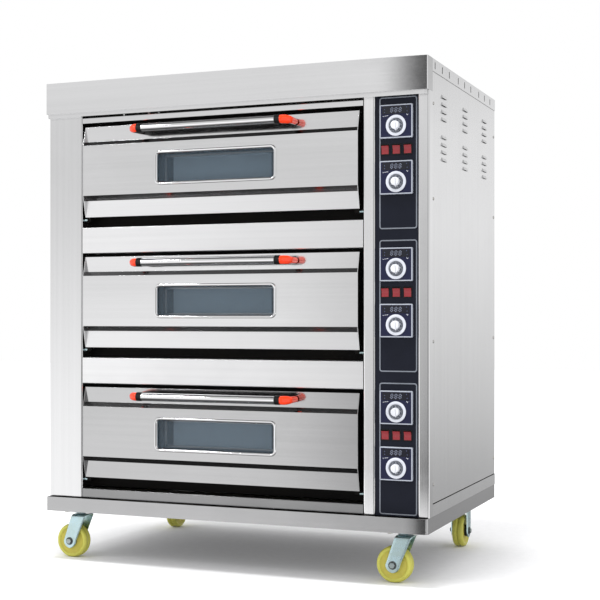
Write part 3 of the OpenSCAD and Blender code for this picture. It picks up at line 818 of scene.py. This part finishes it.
def housings():
    case, face, display, digits, lamps, marks, ring = (bmesh.new() for _ in range(7))
    case_w, case_h = HOUSING
    for at in housing_centres():
        base = at + vec(0, HOUSING_PROUD, 0)
        rounded_frame(case, base, case_w, case_h, 3 * MM, CASE_SECTION)
        plate(face, at + vec(0, 0.5 * MM, 0), case_w - 6 * MM, case_h - 6 * MM, 1.5 * MM, 6 * MM)
        screen = at + vec(0, 0.15 * MM, 31.5 * MM)
        plate(display, screen, 80 * MM, 22 * MM, 2 * MM, 2 * MM)
        for k in (-1, 0, 1):
            digit(digits, screen + vec(k * 12.2 * MM, -0.1 * MM, 0), 6.6 * MM, 11.8 * MM, 1.9 * MM)
        for x, z in LAMPS:
            lathe(lamps, LAMP_PROFILE, along(screen + vec(x * MM, 0, z * MM), (0, -1, 0)), 16)
        for x, z, length, slope in MARKS:
            stroke(marks, at + vec(x * MM, 0.4 * MM, z * MM), length * MM, 1.1 * MM, slope)
        lathe(ring, RING_PROFILE, along(at - vec(0, 0, DIAL_DROP), (0, -1, 0)), 72)
    for name, bm, material, bevel in (
        ("cases", case, "silver", 0.0), ("faces", face, "navy", 0.4 * MM),
        ("screens", display, "display", 0.2 * MM), ("digits", digits, "segment", 0.0),
        ("lamps", lamps, "lamp", 0.0), ("marks", marks, "ink", 0.0),
        ("scale_rings", ring, "scale_ring", 0.0),
    ):
        piece("thermostat_" + name, bm, material, ("thermostat_housings",), bevel=bevel)


def numeral(text, size):
    """The flat outline of a number, centred on the origin, as a list of faces of points."""
    curve = bpy.data.curves.new("numeral", "FONT")
    curve.body = text
    curve.size = size
    curve.align_x = "CENTER"
    curve.align_y = "CENTER"
    curve.resolution_u = 2
    holder = bpy.data.objects.new("numeral", curve)
    mesh = holder.to_mesh()
    faces = [[mesh.vertices[i].co.copy() for i in f.vertices] for f in mesh.polygons]
    holder.to_mesh_clear()
    bpy.data.objects.remove(holder)
    bpy.data.curves.remove(curve)
    return faces


DISC_PROFILE = scaled([(3, -17.9), (3, 0), (20, 0.1), (20, 1.6), (19.4, 2.2), (12.2, 2.6)])
KNOB_PROFILE = scaled([(12.4, 2.4), (12.4, 3.4), (11.9, 4.4), (11.7, 12.4), (11.3, 13.4), (10.2, 14.2),
                       (8.5, 14.5), (0, 14.6)])


def dial(node, numbers):
    """A silver disc with a printed scale, and a knob with a grip bar and a pointer."""
    body = body_of_node(node)
    at = middle_of(node)
    origin = vec(at.x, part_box(node)[1].y - 18 * MM, at.z)
    outward = Matrix.Translation(origin) @ Matrix.Rotation(pi / 2, 4, "X")
    disc, knob, ink = bmesh.new(), bmesh.new(), bmesh.new()
    lathe(disc, DISC_PROFILE, outward, 72)
    lathe(knob, KNOB_PROFILE, outward, 72)
    grip_bar = [(-2.6, -8), (-1.4, -10.4), (1.4, -10.4), (2.6, -8), (2.2, 9), (0, 11), (-2.2, 9)]
    raised(knob, outward, grip_bar, 14.2, 3.2)
    raised(knob, outward, [(-4, -11), (4, -11), (0, -15.5)], 2.6, 0.8)
    for k in range(TICKS):
        inner = 18 if k % 3 else 17
        turn = outward @ Matrix.Rotation(TURN * k / TICKS, 4, "Z")
        raised(ink, turn, [(-0.25, 19.3), (0.25, 19.3), (0.25, inner), (-0.25, inner)], 2.3, 0.25)
    for k, faces in enumerate(numbers):
        turn = outward @ Matrix.Rotation(TURN * (0.44 - k / len(numbers)), 4, "Z")
        place = turn @ Matrix.Translation((0, 14.6 * MM, 0))
        for points in faces:
            ink.faces.new([ink.verts.new(place @ vec(p.x, p.y, 2.75 * MM)) for p in points])
    piece(node + "_disc", disc, "disc", (node,), body=body)
    piece(node + "_knob", knob, "knob", (node,), 40.0, 0.4 * MM, body=body)
    piece(node + "_scale", ink, "ink", body=body)


def raised(bm, to_world, outline, height, thick):
    """A flat shape, in millimetres, at a height on a dial."""
    front = [bm.verts.new(to_world @ vec(x * MM, y * MM, height * MM)) for x, y in outline]
    prism(bm, front, vec(0, -thick * MM, 0))


ROCKER_TILT = radians(7)
ROCKER_W = 21 * MM


def rocker(node):
    """A concave rocker cap that leans on its pivot pins. Returns the place of the pivot."""
    centre = middle_of(node)
    deck = node.split("_")[0]
    pivot = vec(centre.x, panel_front() + 5 * MM, deck_level(deck) - 57 * MM)
    to_world = Matrix.Translation(pivot) @ Matrix.Rotation(ROCKER_TILT, 4, "X")
    half = 12 * MM
    outline = [(-5 * MM, half), (3 * MM, half / 2), (4 * MM, 0), (3 * MM, -half / 2), (-5 * MM, -half)]
    steps = 10
    for k in range(steps + 1):
        z = half * 0.985 * (2 * k / steps - 1)
        outline.append((-(6.2 + 1.8 * (z / half) ** 2) * MM, z))
    bm = bmesh.new()
    ring = [bm.verts.new(to_world @ vec(-ROCKER_W / 2, y, z)) for y, z in outline]
    prism(bm, ring, vec(ROCKER_W, 0, 0))
    piece(node + "_cap", bm, "red", (node,), 30.0, 0.6 * MM, 3, body=body_of_node(node))
    return pivot


def switch_frame(bm, x, z):
    """The raised lip and the deep sleeve of a switch."""
    front = panel_front()
    rounded_frame(bm, vec(x, front, z), 27.5 * MM, 31.5 * MM, 2 * MM, LIP_SECTION)
    rounded_frame(bm, vec(x, front + 14 * MM, z), 24.4 * MM, 28.2 * MM, 0.5 * MM, CORE_SECTION, 2)


def module_trim(bm, deck):
    """The thin frame round the controls of one deck."""
    low_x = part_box("control_panel")[0].x + 12 * MM
    high_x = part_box("control_panel")[1].x - 3 * MM
    middle = vec((low_x + high_x) / 2, panel_front(), deck_level(deck) - 95.25 * MM)
    rounded_frame(bm, middle, high_x - low_x, 370.5 * MM, 8 * MM, TRIM_SECTION)


def controls():
    rounded_copy("control_panel", "panel", 0.4 * MM)
    housings()
    numbers = [numeral(str(number), 3 * MM) for number in NUMBERS]
    trims, lips = bmesh.new(), bmesh.new()
    for deck in DECKS:
        for heat in HEATS:
            dial(f"{deck}_{heat}_heat_dial", numbers)
        for use in SWITCHES:
            pivot = rocker(f"{deck}_{use}_rocker")
            switch_frame(lips, pivot.x, pivot.z)
        module_trim(trims, deck)
    piece("module_trims", trims, "trim")
    piece("switch_frames", lips, "black", ("switch_bezels",))


# ---- fasteners and power inlet ----

SCREW_HEAD = scaled([(4.5, 0), (4.4, 0.9), (3.9, 1.6), (3.0, 2.1), (2.2, 2.3)])
GLAND_FLATS = 39.6 * MM
NUT_H = 8 * MM
# Radius and height of the gland's cap nut in millimetres, and whether its ribs stand out there.
GLAND_PROFILE = ((16.8, 7, 0), (17.6, 8.4, 1), (17.6, 15.5, 1), (16.8, 16.4, 0), (15.6, 19, 0),
                 (13.8, 23, 0), (13, 24, 0), (10, 24, 0), (9, 23, 0), (9, -18, 0))


def cross_screw(bm, to_world):
    """A pan head with a cross recess."""
    steps = 32
    rings = [[to_world @ vec(*circle(k, steps, r), h) for k in range(steps)] for r, h in SCREW_HEAD]
    for r, deep in ((2.1, 0.0), (1.7, 1.0), (0.7, 1.1)):
        ring = []
        for k in range(steps):
            in_arm = min(k % 8, 8 - k % 8) <= 1
            drop = deep if in_arm or r < 1 else 0.0
            ring.append(to_world @ vec(*circle(k, steps, r * MM), (2.35 - drop) * MM))
        rings.append(ring)
    made = loop_mesh(bm, rings, close_path=False)
    bm.faces.new(made[-1])


def screws():
    """Rows of screws along the edges of both sides and of the back."""
    bm = bmesh.new()
    posts_low, posts_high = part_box("front_posts")
    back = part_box("back_panel")[1].y
    width = posts_high.x - posts_low.x
    heights = [cad_box[1].z - 125 * MM] + [deck_level(deck) - 195.5 * MM for deck in DECKS]
    for z in heights:
        for side in (-1, 1):
            for y in (posts_low.y + 46 * MM, back - 14 * MM):
                cross_screw(bm, along(vec(side * (width / 2 - 1.5 * MM), y, z), (side, 0, 0)))
        for x in (14 * MM, width / 3, 2 * width / 3, width - 14 * MM):
            cross_screw(bm, along(vec(posts_low.x + x, back, z), (0, 1, 0)))
    piece("panel_screw_heads", bm, "bright", ("panel_screws",), 30.0)


def gland():
    """The power inlet: a nut on each side of the back panel and a ribbed cap nut."""
    at = middle_of("cable_gland")
    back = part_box("back_panel")[1].y
    outward = along(vec(at.x, back, at.z), (0, 1, 0))
    inward = along(vec(at.x, back - 1.5 * MM, at.z), (0, -1, 0))
    bm = bmesh.new()
    hexagon(bm, outward, GLAND_FLATS, NUT_H)
    hexagon(bm, inward, GLAND_FLATS, NUT_H, 2.4 * MM)
    steps = 72
    rings = []
    for r, h, ribbed in GLAND_PROFILE:
        reach = [(r + 0.4 * ribbed * (k % 4 < 2)) * MM for k in range(steps)]
        rings.append([outward @ vec(*circle(k, steps, reach[k]), h * MM) for k in range(steps)])
    loop_mesh(bm, rings, close_path=False)
    piece("cable_gland_body", bm, "black", ("cable_gland",), 30.0, 0.3 * MM)


# ---- casters ----

HALF_TREAD = scaled([
    (48.4, 0), (48.4, 1.1), (49.4, 2.1), (51.2, 3.0), (52.2, 4.6), (52.5, 7.0), (52.4, 9.6), (51.7, 12.4),
    (50.4, 14.8), (48.6, 16.8), (46.4, 17.8), (43.6, 18.0), (41.8, 17.2), (40.4, 15.6),
])
DISH = scaled([(40.4, 15.6), (38.6, 14.2), (36, 13.3), (32, 13), (26, 13.2), (21.5, 14.0), (18.8, 15.2)])
HUB = scaled([(18.8, 12), (18.9, 22.2), (18.4, 23.4), (17.4, 23.9), (14.2, 23.9), (13.4, 23.2),
              (13.2, 21.4), (8.6, 21.2), (8.2, 23.4), (6.3, 23.4)])
RACE_RIM = scaled([(0, 11.6), (22, 11.6), (26.4, 11.0), (28.2, 9.6), (28.4, 8.4), (27.2, 7.6), (27.2, 6.8),
                   (28.8, 6.0), (28.8, 3.9)])
RACE_HUB = scaled([(6, 11), (6, 26), (5.2, 26.6), (0, 26.6)])
WASHER = scaled([(12, 0), (12, 1.0), (11.4, 1.4), (0, 1.4)])
BOLT_END = scaled([(6, 0), (6, 7.4), (5.2, 8.2), (0, 8.2)])
# The fork's strip: radius of its round ends, radius of its bends, half its width at the crown,
# thickness, half the inner gap, and radius of its rolled edges.
LEG_R = 22 * MM
BEND = 9 * MM
CROWN_HALF = 25 * MM
CHEEK = 3.5 * MM
FORK_GAP = 24.5 * MM
ROLL = 3.4 * MM
OUTER = FORK_GAP + CHEEK
AXLE_HEAD = 15 * MM
PLATE_W, PLATE_D, PLATE_R, PLATE_THICK = 100 * MM, 85 * MM, 8 * MM, 4 * MM
BOLT_X, BOLT_Y, BOLT_FLATS, BOLT_H = 37.5 * MM, 31 * MM, 15 * MM, 5.5 * MM
# Height of a swivel fork's crown above the lowest point of its plate and race.
CROWN_UP = 10 * MM


def wheel(node):
    at = middle_of(node)
    body = body_of_node(node)
    axis = (1, 0, 0) if node.startswith("rear") else (0, 1, 0)
    outward = along(at, axis)
    tread, dish, hub = bmesh.new(), bmesh.new(), bmesh.new()
    lathe(tread, [(r, -h) for r, h in reversed(HALF_TREAD[1:])] + HALF_TREAD, outward, 96)
    for side in (-1, 1):
        lathe(dish, [(r, side * h) for r, h in DISH], outward, 72)
        lathe(hub, [(r, side * h) for r, h in HUB], outward, 48)
    piece(node + "_tread", tread, "nylon", (node,), 40.0, body=body)
    piece(node + "_dish", dish, "dish", (node,), 40.0, body=body)
    piece(node + "_hub_cover", hub, "black", (node,), 30.0, body=body)


def fork_station(offset, top, axle, travelled):
    """A cross line of the bent strip, at a distance along it from the bottom of a leg: its place
    along, across and up, its half width and its outward direction."""
    foot = axle - LEG_R
    leg = top - BEND - foot
    a = max(0.0, (travelled - leg) / BEND)
    y = OUTER - BEND + BEND * cos(a)
    z = top - BEND + BEND * sin(a) if a else foot + travelled
    if z < axle:
        return offset, y, z, sqrt(max(0.0, LEG_R ** 2 - (axle - z) ** 2)), (1, 0)
    share = (top - z) / (top - axle)
    return offset * share, y, z, CROWN_HALF + (LEG_R - CROWN_HALF) * share, (cos(a), sin(a))


def bent_fork(bm, to_world, offset, top, axle):
    """A strip bent over the wheel. Its long edges roll inwards."""
    leg = top - BEND - (axle - LEG_R)
    stops = [leg * share for share in (0.0, 0.002, 0.01, 0.025, 0.05, 0.08, 0.12, 0.17)]
    stops += [leg * (0.17 + 0.83 * k / 14) for k in range(1, 15)]
    stops += [leg + BEND * pi / 2 * k / 8 for k in range(1, 9)]
    half = [fork_station(offset, top, axle, s) for s in stops]
    mirrored = [(x, -y, z, w, (-n[0], n[1])) for x, y, z, w, n in reversed(half)]
    across = [2 * k / 8 - 1 for k in range(9)]
    turns = [pi / 2 * k / 6 for k in range(6)]
    rings = []
    for x, y, z, w, (ny, nz) in half + mirrored:
        roll = min(ROLL, w * 0.9)
        rim = [(w - roll * (1 - cos(t)), roll * (1 - sin(t))) for t in turns]
        line = [(-u, depth) for u, depth in rim]
        line += [(a * (w - roll), 0.0) for a in across]
        line += reversed(rim)
        line += [(a * w, CHEEK) for a in reversed(across)]
        rings.append([to_world @ vec(x + u, y - ny * d, z - nz * d) for u, d in line])
    capped(bm, rings)


def axle_hardware(steel, rings, to_world):
    """Bolt head, nut and the dark washers under them."""
    for side in (-1, 1):
        turn = Matrix.Rotation(-side * pi / 2, 4, "X")
        out = to_world @ turn @ Matrix.Translation((0, 0, OUTER))
        lathe(rings, WASHER, out, 40)
        hexagon(steel, out, AXLE_HEAD, 5 * MM, 1.2 * MM)
        if side > 0:
            lathe(steel, BOLT_END, out, 32)


def caster_station(node, wheel_at):
    """Middle of the mounting plate, its top, and where the fork's crown meets it."""
    if node.startswith("rear"):
        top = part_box("rear_forks")[1].z
        return vec(wheel_at.x, wheel_at.y, 0), top, top - PLATE_THICK
    low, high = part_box("caster_plates")
    x = low.x + PLATE_W / 2 if node.endswith("left") else high.x - PLATE_W / 2
    return vec(x, (low.y + high.y) / 2, 0), high.z, low.z + CROWN_UP


def lay_plate(bm, centre, top):
    """A mounting plate with rounded corners, lying flat."""
    front = [bm.verts.new((centre.x + x, centre.y + y, top))
             for x, y in rounded_rectangle(PLATE_W, PLATE_D, PLATE_R, 5)]
    prism(bm, front, vec(0, 0, -PLATE_THICK))


def ball_race(bm, centre, top):
    """The turning parts under a swivel plate, with the nut of the kingpin."""
    race = along(vec(centre.x, centre.y, top), (0, 0, -1))
    lathe(bm, RACE_RIM, race, 64)
    lathe(bm, RACE_HUB, race, 32)
    hexagon(bm, race, 18 * MM, 7 * MM, 18.5 * MM)


def caster(node, bolts, races):
    """Fork, axle and plate of one caster. The fixed rear ones stand a quarter turn round."""
    front = node.startswith("front")
    wheel_at = middle_of(node + "_wheel")
    centre, plate_top, crown = caster_station(node, wheel_at)
    to_world = Matrix.Translation(centre)
    if not front:
        to_world = to_world @ Matrix.Rotation(pi / 2, 4, "Z")
    offset = wheel_at.x - centre.x
    body, nodes = (node + "_fork", (node + "_fork",)) if front else ("root", ("rear_forks",))
    strip, steel, rings, sheet = (bmesh.new() for _ in range(4))
    bent_fork(strip, to_world, offset, crown, wheel_at.z)
    axle_hardware(steel, rings, to_world @ Matrix.Translation((offset, 0, wheel_at.z)))
    lay_plate(sheet, centre, plate_top)
    piece(node + "_fork_strip", strip, "zinc", nodes, 40.0, body=body)
    piece(node + "_axle_bolt", steel, "bolt", nodes, 30.0, body=body)
    piece(node + "_axle_washers", rings, "dark_zinc_and_shade", (), 30.0, body=body)
    # the plate's dark zinc is painted shade
    piece(node + "_caster_plate", sheet, "dark_zinc_and_shade",
          ("caster_plates",) if front else ("rear_forks",), 30.0, 0.6 * MM)
    for x in (-BOLT_X, BOLT_X):
        for y in (-BOLT_Y, BOLT_Y):
            place = vec(centre.x + x, centre.y + y, plate_top - PLATE_THICK)
            hexagon(bolts, along(place, (0, 0, -1)), BOLT_FLATS, BOLT_H)
    if front:
        ball_race(races, centre, plate_top)


def casters():
    bolts, races = bmesh.new(), bmesh.new()
    for node in WHEELS:
        wheel(node + "_wheel")
        caster(node, bolts, races)
    piece("caster_plate_bolts", bolts, "bright", (), 30.0)
    piece("caster_ball_races", races, "zinc", ("caster_plates",), 30.0)


# ---- assembly ----

cabinet()
chambers()
for deck in DECKS:
    door(deck)
controls()
screws()
gland()
casters()


# ---- studio ----

# Radiance met by a mirror ray, by elevation in degrees: towards the photographer's left, towards
# the right of the camera, behind the oven, and the dark side of the room.
OVERHEAD = ((40, .6), (55, .25), (65, .08), (75, .12), (82, .35), (90, .4))
LEFT_WALL = ((-90, .03), (-50, .1), (-35, .5), (-20, 1.0), (-12, 1.2), (-5, 1.15), (-1.5, 1.04),
             (2.7, .88), (7, .74), (10, .84), (20, .75)) + OVERHEAD
RIGHT_WALL = ((-90, .03), (-35, .3), (-15, 1.15), (-9.3, 1.15), (-7.6, .2), (-3.6, .44), (1.2, .64),
              (6, .74), (9.6, .87), (20, .9)) + OVERHEAD
BACK_WALL = ((-90, .15), (-40, .25), (-15, .35), (-8, .42), (-4, .65), (0, .8), (4, .92), (8, .9), (12, .7),
             (30, .8), (60, .6), (90, .6))
DARK_WALL = ((-90, .05), (0, .08), (90, .08))
# Where one wall fades into the next, in degrees from straight ahead of the doors, positive
# towards the photographer's left.
LEFT_EDGE, FAR_RIGHT_EDGE, BACK_EDGE = (16, 23), (-62, -74), (110, 130)
DARK_LEFT_EDGE, DARK_RIGHT_EDGE = (15.5, 12), (-6, 2)
PEAK = 1.25
SOFT_LIGHT = 1.22
# Place, target, size, power in watts and whether mirrors show it.
LIGHTS = {
    "key_light": ((-0.1, -1.0, 4.6), (0, 0, 0.8), (1.3, 1.0), 150, False),
    "glint_light": ((-2.4, -3.4, 3.4), (0, 0, 0.9), (0.5, 0.5), 18, True),
}
FLOOR_SIZE = (28, 28, 0.05)
CAMERA_PLACE = (1.598, -3.795, 0.757)
CAMERA_TURN = radians(21.8)
LENS, SENSOR_W, SHIFT_UP = 76.7, 36.0, 0.0272


class Sky(Shader):
    """The light of the room by direction, for mirror rays, and an even soft light for the rest."""

    def __init__(self):
        world = bpy.data.worlds.new("studio")
        scene.world = world
        world.use_nodes = True
        world.cycles.sampling_method = "NONE"
        self.tree = world.node_tree
        direction = self.node("TexCoord").outputs["Generated"]
        parts = self.node("SeparateXYZ", Vector=direction).outputs
        degrees = 180 / pi
        rise = self.math("MULTIPLY", self.math("ARCSINE", parts[2]), degrees)
        ahead = self.math("MULTIPLY", parts[1], -1.0)
        aside = self.math("MULTIPLY", parts[0], -1.0)
        turn = self.math("MULTIPLY", self.math("ARCTAN2", aside, ahead), degrees)
        self.height = self.span(rise, 0.0, 1.0, -90.0, 90.0)
        left = self.math("MAXIMUM", self.step(turn, *LEFT_EDGE), self.step(turn, *FAR_RIGHT_EDGE))
        room = self.blend(left, self.wall(RIGHT_WALL), self.wall(LEFT_WALL))
        dark = self.math("MULTIPLY", self.step(turn, *DARK_LEFT_EDGE), self.step(turn, *DARK_RIGHT_EDGE))
        room = self.blend(dark, room, self.wall(DARK_WALL))
        behind = self.step(self.math("ABSOLUTE", turn), *BACK_EDGE)
        room = self.blend(behind, room, self.wall(BACK_WALL))
        rays = self.node("LightPath").outputs
        light = self.blend(rays["Is Glossy Ray"], SOFT_LIGHT, room)
        light = self.blend(rays["Is Camera Ray"], light, 1.0)
        background = self.tree.nodes["Background"]
        background.inputs["Color"].default_value = (1.0, 1.0, 1.0, 1.0)
        self.feed(background.inputs["Strength"], light)

    def step(self, value, start, end):
        """0 at start, rising to 1 at end."""
        if start < end:
            return self.span(value, 0.0, 1.0, start, end)
        return self.span(value, 1.0, 0.0, end, start)

    def wall(self, stops):
        """The light of one wall by height."""
        ramp = self.node("ValToRGB", Fac=self.height)
        points = ramp.color_ramp.elements
        for index, (rise, level) in enumerate(stops):
            place = (rise + 90) / 180
            point = points[index] if index < 2 else points.new(place)
            point.position = place
            point.color = (level / PEAK, level / PEAK, level / PEAK, 1.0)
        return self.math("MULTIPLY", ramp.outputs["Color"], PEAK)

    def blend(self, share, first, second):
        """first where share is 0 and second where it is 1."""
        made = self.node("Mix", {"data_type": "FLOAT"})
        self.feed(made.inputs[0], share)
        self.feed(made.inputs[2], first)
        self.feed(made.inputs[3], second)
        return made.outputs[0]


def softbox(name, place, target, size, power, mirrored):
    data = bpy.data.lights.new(name, "AREA")
    data.shape = "RECTANGLE"
    data.size = size[0]
    data.size_y = size[1]
    data.energy = power
    obj = bpy.data.objects.new(name, data)
    obj.location = place
    obj.visible_glossy = mirrored
    obj.rotation_euler = (Vector(target) - Vector(place)).to_track_quat("-Z", "Y").to_euler()
    scene.collection.objects.link(obj)


def studio():
    bm = bmesh.new()
    block(bm, (0, 0, -FLOOR_SIZE[2] / 2), FLOOR_SIZE)
    floor = new_object("studio_floor", bm)
    floor.data.materials.append(MAT["floor"])
    floor.visible_glossy = False
    Sky()
    for name, settings in LIGHTS.items():
        softbox(name, *settings)


def camera():
    data = bpy.data.cameras.new("camera")
    data.lens = LENS
    data.sensor_width = SENSOR_W
    data.shift_y = SHIFT_UP
    data.clip_end = 100.0
    obj = bpy.data.objects.new("camera", data)
    obj.location = CAMERA_PLACE
    obj.rotation_euler = (pi / 2, 0, CAMERA_TURN)
    scene.collection.objects.link(obj)
    scene.camera = obj


studio()
camera()
scene.view_settings.view_transform = "Standard"
